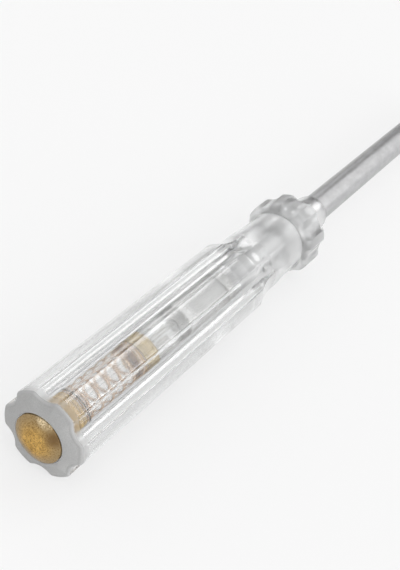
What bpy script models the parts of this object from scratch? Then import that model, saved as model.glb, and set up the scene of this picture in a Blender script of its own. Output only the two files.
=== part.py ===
"""Voltage tester screwdriver: clear fluted handle with a neon lamp stack inside, and a round steel blade.

Metres, +Z up. The tool lies along X with its butt towards -X and its blade towards +X. Stations
along the tool are measured from a plane just inside the butt face, which is crowned towards -X, and
the row's origin is below the middle of the whole length, on the surface that the handle rests on.
Angles round the tool run from +Z towards -Y.
"""

import math

import bpy
import bmesh
from mathutils import Vector

# Driving dimensions of the handle
BODY_RADIUS_BUTT = 0.00605
BODY_RADIUS_FRONT = 0.00632
BODY_LOBES = 6
BODY_FLUTE_DEPTH = 0.00075
BODY_LENGTH = 0.0435
BUTT_EDGE_STATION = -0.00025
BUTT_FILLET_LENGTH = 0.0004
BUTT_FILLET_DEPTH = 0.00045
BUTT_CROWN = 0.00065
BUTT_CROWN_POWER = 1.6
RUNOUT_LENGTH = 0.0040
NECK_RADIUS_REAR = 0.00545
NECK_RADIUS_FRONT = 0.00505
NECK_LENGTH = 0.0117
NECK_FLUTE_DEPTH = 0.0003
FLANGE_RADIUS = 0.0064
FLANGE_LOBES = 8
FLANGE_NOTCH_DEPTH = 0.0006
FLANGE_LENGTH = 0.0068
FLANGE_REAR_FILLET = 0.0020
FLANGE_FRONT_FILLET = 0.0016
NOSE_RADIUS_REAR = 0.0042
NOSE_RADIUS_FRONT = 0.0031
NOSE_LENGTH = 0.0067
NOSE_FILLET = 0.0004
FLUTE_WIDTH_SHARE = 0.62
BODY_EDGE_SOFTNESS = 0.05
FLANGE_EDGE_SOFTNESS = 0.10

# Driving dimensions of the bore and of the fits
BORE_RADIUS = 0.00235
BORE_END_ROOM = 0.0010
THREAD_BORE_RADIUS = 0.0027
SEAT_GAP = 0.0001
SLIDE_GAP = 0.00015
OVERRUN = 0.001

# Contact cap
CAP_HEAD_RADIUS = 0.00345
CAP_HEAD_SEAT = 0.0010
CAP_RIM_PROUD = 0.00015
CAP_DOME_RISE = 0.00075
CAP_LAND_RADIUS = 0.0012
CAP_EDGE_FILLET = 0.0001
CAP_SHANK_LENGTH = 0.00435
CAP_SHANK_CHAMFER = 0.0003
CAP_SCREW_GAP = 0.00025

# Contact spring
SPRING_WIRE = 0.00045
SPRING_PITCH = 0.00225
SPRING_LENGTH = 0.0141
SPRING_FRONT_TURN_SHARE = 0.55
SPRING_FREE_GAP_LEAST = 0.0004

# Neon lamp
FERRULE_SPRING_SOCKET = 0.0012
FERRULE_FLOOR = 0.0003
FERRULE_LAMP_SOCKET = 0.0011
FERRULE_WALL = 0.0002
GLASS_LENGTH = 0.0086
GLASS_WALL = 0.00025
GLASS_DOME = 0.0033
SEAL_LENGTH = 0.0012
ELECTRODE_RADIUS = 0.00035
ELECTRODE_LENGTH = 0.0035
ELECTRODE_STAGGER = 0.0010
ELECTRODE_SPACING = 0.0011
LEAD_RADIUS = 0.00015
LEAD_REACH = 0.00055

# Resistor
RESISTOR_LENGTH = 0.0124
RESISTOR_BODY_RADIUS = 0.0017
RESISTOR_CAP_RADIUS = 0.0020
RESISTOR_CAP_LENGTH = 0.0021
RESISTOR_CAP_END_WALL = 0.0003
RESISTOR_CAP_FILLET = 0.0003

# Blade
SHAFT_RADIUS = 0.0025
SHAFT_EXPOSED_LENGTH = 0.0751
TANG_RADIUS = 0.0009
TANG_LENGTH = 0.0220
TANG_CONE_LENGTH = 0.0016
BARB_COUNT = 3
BARB_PITCH = 0.0024
BARB_SETBACK = 0.0087
BARB_LENGTH = 0.0014
BARB_SPAN = 0.0034
BARB_THICKNESS = 0.0012
BARB_BEVEL = 0.0003
BLADE_THICKNESS = 0.0008
BLADE_LENGTH = 0.0130
BLADE_LAND_LENGTH = 0.0020

# Facets
HANDLE_SIDES = 96
ROUND_SIDES = 32
SMALL_SIDES = 16
FILLET_STEPS = 5
SPRING_POINTS_PER_TURN = 10
FACING_ANGLE = math.radians(22.5)
QUARTER_TURN = math.pi / 2

COLLECTION = "voltage_tester_screwdriver"


def clear_scene():
    """Removes every object, so that the script starts from nothing."""
    for thing in list(bpy.data.objects):
        bpy.data.objects.remove(thing, do_unlink=True)


def new_collection(name):
    """A collection linked to the scene."""
    group = bpy.data.collections.new(name)
    bpy.context.scene.collection.children.link(group)
    return group


def material(name, colour, metallic, roughness, transmission=0.0):
    """A Principled material with the piece's own colour and finish."""
    finish = bpy.data.materials.new(name)
    finish.use_nodes = True
    shader = finish.node_tree.nodes["Principled BSDF"]
    shader.inputs["Base Color"].default_value = (*colour, 1.0)
    shader.inputs["Metallic"].default_value = metallic
    shader.inputs["Roughness"].default_value = roughness
    shader.inputs["Transmission Weight"].default_value = transmission
    finish.diffuse_color = (*colour, 1.0)
    return finish


def add_object(name, mesh, group, finish=None):
    """An object on the tool's axis, in the given collection."""
    thing = bpy.data.objects.new(name, mesh)
    thing.location = (BUTT_PLANE_X, 0, AXIS_HEIGHT)
    group.objects.link(thing)
    if finish:
        mesh.materials.append(finish)
    return thing


def mesh_from(name, builder):
    """A mesh that the builder fills through bmesh, shaded smooth between its sharp edges."""
    form = bmesh.new()
    builder(form)
    bmesh.ops.recalc_face_normals(form, faces=form.faces)
    mesh = bpy.data.meshes.new(name)
    form.to_mesh(mesh)
    form.free()
    mesh.shade_smooth()
    mesh.set_sharp_from_angle(angle=math.radians(35))
    return mesh


def around(radius, angle):
    """The offset from the tool's axis at a radius and an angle round it."""
    return Vector((0, -radius * math.sin(angle), radius * math.cos(angle)))


def turned(name, profile, group, finish=None, sides=ROUND_SIDES, offset=0.0):
    """A turned piece. The profile is a list of (station, radius), from the butt's end to the tip's end.

    It is drawn at +X with stations up Z, run from top to bottom, and laid along the tool's axis.
    """
    mesh = bpy.data.meshes.new(name)
    points = [(radius, 0, station) for station, radius in reversed(profile)]
    mesh.from_pydata(points, [(i, i + 1) for i in range(len(points) - 1)], [])
    thing = add_object(name, mesh, group, finish)
    thing.location += around(offset, FACING_ANGLE + QUARTER_TURN)
    thing.rotation_euler = (0, QUARTER_TURN, 0)
    screw = thing.modifiers.new("Turn", "SCREW")
    screw.axis = "Z"
    screw.steps = sides
    screw.render_steps = sides
    screw.use_merge_vertices = True
    screw.merge_threshold = 0.000001
    screw.use_smooth_shade = True
    return thing


def cutter(thing):
    """Marks a cutting shape, which stays out of the model itself."""
    thing.hide_render = True
    thing.display_type = "WIRE"
    return thing


def boolean(thing, other, operation):
    """Cuts or joins another shape, with the exact solver."""
    step = thing.modifiers.new(operation.title(), "BOOLEAN")
    step.operation = operation
    step.solver = "EXACT"
    step.object = other


def fillet(start, end, steps=FILLET_STEPS, leaves_axially=False):
    """Quarter-ellipse points (station, radius) from start to end, both included.

    It leaves the start radially and meets the end axially, or the other way round.
    """
    points = []
    for i in range(steps + 1):
        turn = QUARTER_TURN * i / steps
        along, out = 1 - math.cos(turn), math.sin(turn)
        if leaves_axially:
            along, out = out, along
        points.append((start[0] + (end[0] - start[0]) * along, start[1] + (end[1] - start[1]) * out))
    return points


def eased(share):
    """A share from 0 to 1 that starts and ends level."""
    return share * share * (3 - 2 * share)


def flute_shape(angle, lobes, depth_share, softness):
    """How far into the flute, 0 on a lobe and 1 at a flute's bottom, the outline lies at this angle.

    The lobes are arcs of the outer circle, and each flute is one arc that cuts the circle. depth_share
    is the flute's depth as a share of the circle's radius, which sets the arc. softness, a share of the
    radius too, sets how far the edges between them are rounded.
    """
    half = math.pi / lobes
    from_flute = half - abs((angle + half) % (2 * half) - half)
    edge = half * FLUTE_WIDTH_SHARE
    run = math.cos(edge) - (1 - depth_share)
    arc = (run * run + math.sin(edge) ** 2) / (2 * run)
    centre = 1 - depth_share + arc
    inside = arc * arc - (centre * math.sin(from_flute)) ** 2
    if inside <= 0:
        return 0.0
    reach = centre * math.cos(from_flute) - math.sqrt(inside)
    blend = max(softness - abs(1 - reach), 0) / softness
    outline = min(1, reach) - softness * blend * blend / 4
    return min((1 - outline) / depth_share, 1.0)


def handle_rings():
    """Stations of the handle's outer surface: (station, crest radius, body flute, flange notch)."""
    rings = []
    face_edge = BODY_RADIUS_BUTT - BUTT_FILLET_DEPTH
    lip = CAP_HEAD_RADIUS + SLIDE_GAP / 2
    for i in range(FILLET_STEPS):
        share = i / FILLET_STEPS
        station = lip_station() + BUTT_CROWN * share ** BUTT_CROWN_POWER
        rings.append((station, lip + (face_edge - lip) * share, BODY_FLUTE_DEPTH * share, 0.0))
    for station, radius in fillet((face_edge_station(), face_edge), (BUTT_EDGE_STATION, BODY_RADIUS_BUTT)):
        rings.append((station, radius, BODY_FLUTE_DEPTH, 0.0))
    for share in (0.25, 0.5, 0.75, 1.0):
        station = BUTT_EDGE_STATION + (BODY_LENGTH - BUTT_EDGE_STATION) * share
        radius = BODY_RADIUS_BUTT + (BODY_RADIUS_FRONT - BODY_RADIUS_BUTT) * share
        rings.append((station, radius, BODY_FLUTE_DEPTH, 0.0))
    neck_start = BODY_LENGTH + RUNOUT_LENGTH
    for i in range(1, FILLET_STEPS + 1):
        share = i / FILLET_STEPS
        radius = BODY_RADIUS_FRONT + (NECK_RADIUS_REAR - BODY_RADIUS_FRONT) * eased(share)
        depth = BODY_FLUTE_DEPTH + (NECK_FLUTE_DEPTH - BODY_FLUTE_DEPTH) * eased(share)
        rings.append((BODY_LENGTH + RUNOUT_LENGTH * share, radius, depth, 0.0))
    for i in range(1, FILLET_STEPS + 1):
        share = i / FILLET_STEPS
        radius = NECK_RADIUS_REAR + (NECK_RADIUS_FRONT - NECK_RADIUS_REAR) * eased(share)
        rings.append((neck_start + NECK_LENGTH * share, radius, NECK_FLUTE_DEPTH * (1 - share), 0.0))
    flange_start = neck_start + NECK_LENGTH
    flange_end = flange_start + FLANGE_LENGTH
    for station, radius in fillet(
        (flange_start, NECK_RADIUS_FRONT), (flange_start + FLANGE_REAR_FILLET, FLANGE_RADIUS)
    )[1:]:
        grown = (radius - NECK_RADIUS_FRONT) / (FLANGE_RADIUS - NECK_RADIUS_FRONT)
        rings.append((station, radius, 0.0, FLANGE_NOTCH_DEPTH * grown))
    for station, radius in fillet(
        (flange_end - FLANGE_FRONT_FILLET, FLANGE_RADIUS), (flange_end, NOSE_RADIUS_REAR),
        leaves_axially=True,
    ):
        left = (radius - NOSE_RADIUS_REAR) / (FLANGE_RADIUS - NOSE_RADIUS_REAR)
        rings.append((station, radius, 0.0, FLANGE_NOTCH_DEPTH * left))
    nose_end = flange_end + NOSE_LENGTH
    for station, radius in fillet(
        (nose_end - NOSE_FILLET, NOSE_RADIUS_FRONT), (nose_end, NOSE_RADIUS_FRONT - NOSE_FILLET),
        leaves_axially=True,
    ):
        rings.append((station, radius, 0.0, 0.0))
    return rings


def ring_points(ring):
    """The points of one ring of the handle, round the tool's axis."""
    station, crest, flute, notch = ring
    points = []
    for i in range(HANDLE_SIDES):
        angle = 2 * math.pi * i / HANDLE_SIDES
        radius = crest
        radius -= flute * flute_shape(angle, BODY_LOBES, BODY_FLUTE_DEPTH / BODY_RADIUS_BUTT,
                                      BODY_EDGE_SOFTNESS)
        radius -= notch * flute_shape(angle, FLANGE_LOBES, FLANGE_NOTCH_DEPTH / FLANGE_RADIUS,
                                      FLANGE_EDGE_SOFTNESS)
        points.append(Vector((station, 0, 0)) + around(radius, FACING_ANGLE + angle))
    return points


def lofted(form, rings):
    """Skins the rings in order and closes both ends."""
    loops = [[form.verts.new(point) for point in ring_points(ring)] for ring in rings]
    for near, far in zip(loops, loops[1:]):
        for i in range(HANDLE_SIDES):
            j = (i + 1) % HANDLE_SIDES
            form.faces.new((near[i], near[j], far[j], far[i]))
    form.faces.new(loops[0])
    form.faces.new(loops[-1])


def handle_length():
    """Length of the moulding, from the butt face to the nose's end."""
    return BODY_LENGTH + RUNOUT_LENGTH + NECK_LENGTH + FLANGE_LENGTH + NOSE_LENGTH


def resting_radius():
    """How far below the tool's axis the flange and the body's lobes reach."""
    return max(-point.z for ring in handle_rings() for point in ring_points(ring))


def tip_station():
    """Station of the blade's tip."""
    return handle_length() + SHAFT_EXPOSED_LENGTH


def face_edge_station():
    """Station of the butt face's outer edge, where its fillet starts."""
    return BUTT_EDGE_STATION - BUTT_FILLET_LENGTH


def lip_station():
    """Station of the butt face's inner edge, round the cap, which is its farthest point."""
    return face_edge_station() - BUTT_CROWN


def cap_top():
    """Station of the flat land on the cap's dome."""
    return lip_station() - CAP_RIM_PROUD - CAP_DOME_RISE


def cap_seat():
    """Station of the underside of the cap's head, which is let into the crowned face."""
    return lip_station() + CAP_HEAD_SEAT


def shank_end():
    """Station of the end of the cap's shank, which the spring presses on."""
    return cap_seat() + CAP_SHANK_LENGTH


BUTT_PLANE_X = -(tip_station() + cap_top()) / 2
AXIS_HEIGHT = resting_radius()


def shaft_profile(gap=0.0):
    """Outline of the blade's turned stock from its tang to its tip, grown by a gap for its socket."""
    shoulder = tang_start() + TANG_LENGTH
    return [
        (tang_start() - gap, 0.0),
        (tang_start() - gap, TANG_RADIUS + gap),
        (shoulder - gap, TANG_RADIUS + gap),
        (shoulder + TANG_CONE_LENGTH - gap, SHAFT_RADIUS + gap),
        (tip_station(), SHAFT_RADIUS + gap),
        (tip_station(), 0.0),
    ]


def barbs_mesh(name, gap=0.0):
    """The flat barbs across the tang that key it into the neck, grown by a gap for their pockets."""
    size = (BARB_LENGTH + 2 * gap, BARB_SPAN + 2 * gap, BARB_THICKNESS + 2 * gap)

    def build(form):
        for i in range(BARB_COUNT):
            middle = tang_start() + BARB_SETBACK + BARB_LENGTH / 2 + BARB_PITCH * i
            barb = bmesh.ops.create_cube(form, size=1)["verts"]
            bmesh.ops.scale(form, vec=size, verts=barb)
            bmesh.ops.translate(form, vec=(middle, 0, 0), verts=barb)

    return mesh_from(name, build)


def tang_start():
    """Station of the tang's end, which the lamp stack rests against."""
    return lamp_stack_end() + SEAT_GAP


def lamp_stack_end():
    """Station of the resistor's front end."""
    return resistor_start() + RESISTOR_LENGTH


def resistor_start():
    """Station of the resistor's rear end, which the lamp's front wire reaches."""
    return glass_start() + GLASS_LENGTH + LEAD_REACH


def glass_start():
    """Station where the lamp's glass seats in its ferrule."""
    return ferrule_floor() + FERRULE_FLOOR + SEAT_GAP


def ferrule_floor():
    """Station of the ferrule's floor, which the spring presses on."""
    return shank_end() + SPRING_LENGTH


def ferrule_radius():
    """Outer radius of the lamp's ferrule, which slides in the bore."""
    return BORE_RADIUS - SLIDE_GAP


def glass_radius():
    """Outer radius of the lamp's glass, inside its ferrule."""
    return ferrule_radius() - FERRULE_WALL - SEAT_GAP


def make_handle(group, cutters, finish):
    """The clear moulding: outer loft, bore for the lamp stack, cap recess and the blade's socket."""
    rings = handle_rings()
    handle = add_object("handle_moulding", mesh_from("handle_moulding", lambda f: lofted(f, rings)),
                        group, finish)
    recess_floor = cap_seat() + SEAT_GAP
    thread_bore_end = shank_end() + SEAT_GAP
    bore_end = lamp_stack_end() + BORE_END_ROOM
    bore = cutter(turned("bore_cut", [
        (cap_top() - OVERRUN, 0.0),
        (cap_top() - OVERRUN, CAP_HEAD_RADIUS + SLIDE_GAP),
        (recess_floor, CAP_HEAD_RADIUS + SLIDE_GAP),
        (recess_floor, THREAD_BORE_RADIUS),
        (thread_bore_end, THREAD_BORE_RADIUS),
        (thread_bore_end, BORE_RADIUS),
        (bore_end, BORE_RADIUS),
        (bore_end, 0.0),
    ], cutters))
    socket = cutter(turned("blade_socket_cut", shaft_profile(SEAT_GAP), cutters))
    pockets = cutter(add_object("barb_pockets_cut", barbs_mesh("barb_pockets_cut", SEAT_GAP), cutters))
    for shape in (bore, socket, pockets):
        boolean(handle, shape, "DIFFERENCE")
    return handle


def make_cap(group, finish):
    """The brass touch cap: domed head with a small flat land, and a screwed shank."""
    head_edge = CAP_HEAD_RADIUS - CAP_EDGE_FILLET
    rim = cap_top() + CAP_DOME_RISE
    dome = []
    for i in range(FILLET_STEPS + 1):
        share = i / FILLET_STEPS
        radius = CAP_LAND_RADIUS + (head_edge - CAP_LAND_RADIUS) * share
        dome.append((cap_top() + CAP_DOME_RISE * share * share, radius))
    shank = THREAD_BORE_RADIUS - CAP_SCREW_GAP
    profile = [(cap_top(), 0.0)] + dome + [
        (rim + CAP_EDGE_FILLET, CAP_HEAD_RADIUS),
        (cap_seat(), CAP_HEAD_RADIUS),
        (cap_seat(), shank),
        (shank_end() - CAP_SHANK_CHAMFER, shank),
        (shank_end(), shank - CAP_SHANK_CHAMFER),
        (shank_end(), 0.0),
    ]
    return turned("contact_cap", profile, group, finish)


def spring_radius():
    """Radius of the spring's wire centre, so that its end sits in the ferrule."""
    return glass_radius() - SPRING_WIRE / 2


def spring_points():
    """Centre points of the spring's wire, with ends that stand square on the cap and the ferrule."""
    start = shank_end() + SEAT_GAP
    end = ferrule_floor() - SEAT_GAP
    coil_start, coil_end = start + SPRING_WIRE, end - SPRING_WIRE
    step = SPRING_PITCH / SPRING_POINTS_PER_TURN
    count = round((coil_end - coil_start) / step)
    stations = [coil_start + (coil_end - coil_start) * i / count for i in range(count + 1)]

    def wound(station):
        turn = 2 * math.pi * ((station - shank_end()) / SPRING_PITCH - SPRING_FRONT_TURN_SHARE)
        return FACING_ANGLE - turn

    places = [(start, wound(coil_start))] + [(s, wound(s)) for s in stations]
    places.append((end, wound(coil_end)))
    return [Vector((s, 0, 0)) + around(spring_radius(), angle) for s, angle in places]


def least_gap_to_itself(points, wire):
    """Least gap between turns of a wound wire, measured between points that lie a half turn apart or more."""
    apart = SPRING_POINTS_PER_TURN // 2
    nearest = min((points[i] - points[j]).length
                  for i in range(len(points)) for j in range(i + apart, len(points)))
    return nearest - wire


def make_spring(group, finish):
    """The coil spring, one unbroken tube of round wire."""
    points = spring_points()
    curve = bpy.data.curves.new("contact_spring", "CURVE")
    curve.dimensions = "3D"
    curve.bevel_depth = SPRING_WIRE / 2
    curve.bevel_resolution = 1
    curve.use_fill_caps = True
    line = curve.splines.new("POLY")
    line.points.add(len(points) - 1)
    for place, point in zip(line.points, points):
        place.co = (*point, 1)
    spring = bpy.data.objects.new("contact_spring", curve)
    spring.location = (BUTT_PLANE_X, 0, AXIS_HEIGHT)
    group.objects.link(spring)
    curve.materials.append(finish)
    gap = least_gap_to_itself(points, SPRING_WIRE)
    print(f"contact_spring least gap to itself {gap * 1000:.2f} mm, wanted over "
          f"{SPRING_FREE_GAP_LEAST * 1000:.1f} mm")
    return spring


def make_ferrule(group, finish):
    """The lamp's brass ferrule: a socket for the spring's end, a floor with a wire hole, and a lamp socket."""
    outer, inner = ferrule_radius(), ferrule_radius() - FERRULE_WALL
    floor = ferrule_floor()
    start = floor - FERRULE_SPRING_SOCKET
    end = floor + FERRULE_FLOOR + FERRULE_LAMP_SOCKET
    return turned("lamp_ferrule", [
        (floor, 0.0),
        (floor, inner),
        (start, inner),
        (start, outer),
        (end, outer),
        (end, inner),
        (floor + FERRULE_FLOOR, inner),
        (floor + FERRULE_FLOOR, 0.0),
    ], group, finish)


def make_glass(group, cutters, finish):
    """The lamp's glass tube with a domed front, open at the ferrule and pierced for the front wire."""
    start, end = glass_start(), glass_start() + GLASS_LENGTH
    outer, inner = glass_radius(), glass_radius() - GLASS_WALL
    inside = fillet((end - GLASS_DOME, inner), (end - GLASS_WALL, 0.0), leaves_axially=True)
    outside = fillet((end - GLASS_DOME, outer), (end, 0.0), leaves_axially=True)
    profile = list(reversed(inside)) + [(start, inner), (start, outer)] + outside
    glass = turned("lamp_glass", profile, group, finish)
    hole = cutter(turned("front_wire_hole_cut", [
        (end - GLASS_DOME - OVERRUN, 0.0),
        (end - GLASS_DOME - OVERRUN, LEAD_RADIUS + SEAT_GAP),
        (end + OVERRUN, LEAD_RADIUS + SEAT_GAP),
        (end + OVERRUN, 0.0),
    ], cutters, sides=SMALL_SIDES, offset=-ELECTRODE_SPACING / 2))
    boolean(glass, hole, "DIFFERENCE")
    return glass


def make_rod(name, start, end, radius, offset, group, finish):
    """A plain round rod or wire beside the tool's axis."""
    return turned(name, [(start, 0.0), (start, radius), (end, radius), (end, 0.0)], group, finish,
                  sides=SMALL_SIDES, offset=offset)


def make_lamp_inside(group, cutters, seal_finish, electrode_finish, lead_finish):
    """The rear seal, the two electrodes side by side, and the wires at their outer ends."""
    side = ELECTRODE_SPACING / 2
    seal_start = glass_start()
    seal_end = seal_start + SEAL_LENGTH
    seal_radius = glass_radius() - GLASS_WALL - SEAT_GAP
    seal = turned("lamp_seal_rear", [
        (seal_start, 0.0), (seal_start, seal_radius), (seal_end, seal_radius), (seal_end, 0.0),
    ], group, seal_finish)
    hole = cutter(make_rod("rear_wire_hole_cut", seal_start - OVERRUN, seal_end + OVERRUN,
                           LEAD_RADIUS + SEAT_GAP, side, cutters, None))
    boolean(seal, hole, "DIFFERENCE")
    rear_start = seal_end + ELECTRODE_STAGGER
    front_start = rear_start + ELECTRODE_STAGGER
    front_end = front_start + ELECTRODE_LENGTH
    make_rod("lamp_electrode_rear", rear_start, rear_start + ELECTRODE_LENGTH, ELECTRODE_RADIUS,
             side, group, electrode_finish)
    make_rod("lamp_electrode_front", front_start, front_end, ELECTRODE_RADIUS,
             -side, group, electrode_finish)
    make_rod("lamp_lead_rear", seal_start, rear_start - SEAT_GAP, LEAD_RADIUS,
             side, group, lead_finish)
    make_rod("lamp_lead_front", front_end + SEAT_GAP, resistor_start() - SEAT_GAP, LEAD_RADIUS,
             -side, group, lead_finish)


def make_resistor_cap(name, closed_end, direction, group, finish):
    """A pressed cup over one end of the resistor. direction is +1 where its mouth faces the tip."""
    inner = RESISTOR_BODY_RADIUS + SEAT_GAP
    mouth = closed_end + direction * RESISTOR_CAP_LENGTH
    inner_floor = closed_end + direction * RESISTOR_CAP_END_WALL
    profile = [(closed_end, 0.0)]
    profile += fillet((closed_end, RESISTOR_CAP_RADIUS - RESISTOR_CAP_FILLET),
                      (closed_end + direction * RESISTOR_CAP_FILLET, RESISTOR_CAP_RADIUS))
    profile += [(mouth, RESISTOR_CAP_RADIUS), (mouth, inner), (inner_floor, inner), (inner_floor, 0.0)]
    if direction < 0:
        profile.reverse()
    return turned(name, profile, group, finish)


def make_resistor(group, body_finish, cap_finish):
    """The ceramic rod and its two end caps."""
    start, end = resistor_start(), lamp_stack_end()
    inset = RESISTOR_CAP_END_WALL + SEAT_GAP
    turned("resistor_body", [
        (start + inset, 0.0), (start + inset, RESISTOR_BODY_RADIUS),
        (end - inset, RESISTOR_BODY_RADIUS), (end - inset, 0.0),
    ], group, body_finish)
    make_resistor_cap("resistor_cap_rear", start, 1, group, cap_finish)
    make_resistor_cap("resistor_cap_front", end, -1, group, cap_finish)


def blade_wedge(form):
    """A wedge above the blade: it leaves a flat land at the tip and a taper behind it."""
    wide = SHAFT_RADIUS + OVERRUN
    tip = tip_station() + OVERRUN
    land = tip_station() - BLADE_LAND_LENGTH
    heel = tip_station() - BLADE_LENGTH
    outline = [
        (heel, SHAFT_RADIUS), (land, BLADE_THICKNESS / 2), (tip, BLADE_THICKNESS / 2),
        (tip, wide), (heel, wide),
    ]
    near = [form.verts.new((x, -wide, z)) for x, z in outline]
    face = form.faces.new(near)
    swept = bmesh.ops.extrude_face_region(form, geom=[face])
    moved = [part for part in swept["geom"] if isinstance(part, bmesh.types.BMVert)]
    bmesh.ops.translate(form, vec=(0, 2 * wide, 0), verts=moved)


def make_shaft(group, cutters, finish):
    """The blade: turned stock, barbs on its tang in the neck, and two ground flats at the tip."""
    shaft = turned("shaft", shaft_profile(), group, finish)
    barbs = cutter(add_object("barbs_join", barbs_mesh("barbs_join"), cutters))
    soften = barbs.modifiers.new("Soften", "BEVEL")
    soften.width = BARB_BEVEL
    soften.segments = 2
    boolean(shaft, barbs, "UNION")
    for name, turn in (("blade_upper_cut", 0), ("blade_lower_cut", math.pi)):
        wedge = cutter(add_object(name, mesh_from(name, blade_wedge), cutters))
        wedge.rotation_euler = (turn, 0, 0)
        boolean(shaft, wedge, "DIFFERENCE")
    return shaft


def build():
    """Makes every piece of the tester."""
    clear_scene()
    group = new_collection(COLLECTION)
    cutters = new_collection("cutters")
    clear_plastic = material("clear_plastic", (0.92, 0.93, 0.93), 0.0, 0.06, 1.0)
    brass = material("brass", (0.72, 0.50, 0.20), 1.0, 0.35)
    spring_metal = material("spring_brass", (0.78, 0.55, 0.36), 1.0, 0.25)
    ferrule_metal = material("ferrule_brass", (0.80, 0.58, 0.25), 1.0, 0.25)
    glass = material("lamp_glass", (0.95, 0.96, 0.95), 0.0, 0.02, 1.0)
    seal_glass = material("seal_glass", (0.80, 0.84, 0.80), 0.0, 0.15, 0.6)
    nickel = material("electrode_nickel", (0.55, 0.53, 0.50), 1.0, 0.4)
    lead_wire = material("lead_wire", (0.62, 0.60, 0.58), 1.0, 0.3)
    ceramic = material("resistor_ceramic", (0.82, 0.80, 0.74), 0.0, 0.5)
    cap_metal = material("resistor_cap_metal", (0.60, 0.60, 0.60), 1.0, 0.3)
    steel = material("shaft_steel", (0.62, 0.62, 0.63), 1.0, 0.3)
    make_handle(group, cutters, clear_plastic)
    make_shaft(group, cutters, steel)
    make_cap(group, brass)
    make_spring(group, spring_metal)
    make_ferrule(group, ferrule_metal)
    make_glass(group, cutters, glass)
    make_lamp_inside(group, cutters, seal_glass, nickel, lead_wire)
    make_resistor(group, ceramic, cap_metal)


build()
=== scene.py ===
"""Looks of the voltage tester screwdriver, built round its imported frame. Metres, +Z up, butt towards -X."""

import math

import bmesh
import bpy
from mathutils import Euler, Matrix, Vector


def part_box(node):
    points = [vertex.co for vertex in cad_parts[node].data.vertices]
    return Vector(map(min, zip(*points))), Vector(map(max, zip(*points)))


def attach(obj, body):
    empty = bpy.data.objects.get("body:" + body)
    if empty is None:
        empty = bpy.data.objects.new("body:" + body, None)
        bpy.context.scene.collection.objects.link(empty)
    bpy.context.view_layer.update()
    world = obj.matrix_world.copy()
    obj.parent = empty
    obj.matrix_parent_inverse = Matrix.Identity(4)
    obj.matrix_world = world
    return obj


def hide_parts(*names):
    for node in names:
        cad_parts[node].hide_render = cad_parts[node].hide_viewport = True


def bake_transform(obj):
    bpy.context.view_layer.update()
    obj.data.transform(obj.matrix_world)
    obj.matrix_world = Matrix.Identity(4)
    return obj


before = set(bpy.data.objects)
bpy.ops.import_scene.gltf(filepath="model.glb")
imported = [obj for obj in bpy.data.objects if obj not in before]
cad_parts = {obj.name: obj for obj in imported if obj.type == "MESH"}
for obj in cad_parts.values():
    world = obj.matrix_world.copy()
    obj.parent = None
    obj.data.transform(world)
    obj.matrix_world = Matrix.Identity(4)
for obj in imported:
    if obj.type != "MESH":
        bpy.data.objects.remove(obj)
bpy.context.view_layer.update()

# The handle is one clear acetate moulding, fluted for grip and frosted on the butt where it was parted
# from its sprue. The blade's tang is moulded into its neck, and the bore behind it is left open for
# the lamp stack, which the brass cap closes.
LIP = -0.0013
FACE_EDGE = -0.00065
BUTT_EDGE = -0.00025
BUTT_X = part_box("handle_moulding")[0].x - LIP
AXIS_Z = (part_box("shaft")[0].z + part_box("shaft")[1].z) / 2
FACING = math.radians(22.5)
HANDLE_SIDES = 288
BODY_LOBES = 6
BODY_RADIUS_BUTT = 0.00605
BODY_RADIUS_FRONT = 0.00632
BODY_FLUTE = 0.00075
BODY_END = 0.0435
BUTT_FILLET_DEPTH = 0.00045
FACE_CROWN_POWER = 1.6
NECK_START = 0.0475
SCOOP = 1.7
NECK_END = 0.0592
NECK_RADIUS_REAR = 0.00545
NECK_RADIUS_FRONT = 0.00505
NECK_FLUTE = 0.0003
FLANGE_END = 0.0660
FLANGE_RADIUS = 0.0064
FLANGE_NOTCH = 0.0006
FLANGE_LOBES = 8
FLANGE_REAR_FILLET = 0.0020
FLANGE_FRONT_FILLET = 0.0016
NOSE_END = 0.0727
NOSE_RADIUS_REAR = 0.0042
NOSE_RADIUS_FRONT = 0.0031
NOSE_FILLET = 0.0004
RECESS_RADIUS = 0.0036
RECESS_FLOOR = -0.0002
THREAD_BORE_RADIUS = 0.0027
THREAD_BORE_END = 0.00415
BORE_RADIUS = 0.00235
BORE_END = 0.0411
TANG_RADIUS = 0.0009
TANG_END = 0.0622
CONE_END = 0.0638
SHAFT_RADIUS = 0.0025
MOULDED_ON = 0.00004
PARTING_RISE = 0.00002
PARTING_WIDTH = math.radians(1.2)
FLUTE_WIDTH = 0.52
BODY_EDGE_SOFTNESS = 0.05
FLANGE_EDGE_SOFTNESS = 0.16
JUST_OUTSIDE = 1.001
BUTT_HAZE_END = 0.0016
GLOSS_START = 0.017
GLOSS_END = 0.026
NECK_HAZE_START = 0.0445
NECK_HAZE_END = 0.0505
NECK_LIGHT_START = 0.046
NECK_LIGHT_END = 0.058
BORE_LIGHT_RADII = (0.0029, 0.0036)
EDGE_HIGHLIGHT_END = FACE_EDGE + 0.00012
FLOW_HEIGHT = 0.000003
TOOTH_HEIGHT = 0.00002


def around(station, radius, angle):
    """A point at a station from the butt, a radius from the tool's axis and an angle round it."""
    return Vector((BUTT_X + station, -radius * math.sin(angle), AXIS_Z + radius * math.cos(angle)))


def fluted(angle, lobes, depth, softness):
    """How deep in a flute the outline lies at an angle: 0 on a lobe's crest and 1 at a flute's bottom."""
    half = math.pi / lobes
    off = half - abs((angle - FACING + half) % (2 * half) - half)
    edge = half * FLUTE_WIDTH
    run = math.cos(edge) - (1 - depth)
    arc = (run * run + math.sin(edge) ** 2) / (2 * run)
    centre = 1 - depth + arc
    inside = arc * arc - (centre * math.sin(off)) ** 2
    if inside <= 0:
        return 0.0
    reach = centre * math.cos(off) - math.sqrt(inside)
    blend = max(softness - abs(1 - reach), 0) / softness
    return min((1 - min(1, reach) + softness * blend * blend / 4) / depth, 1.0)


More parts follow.
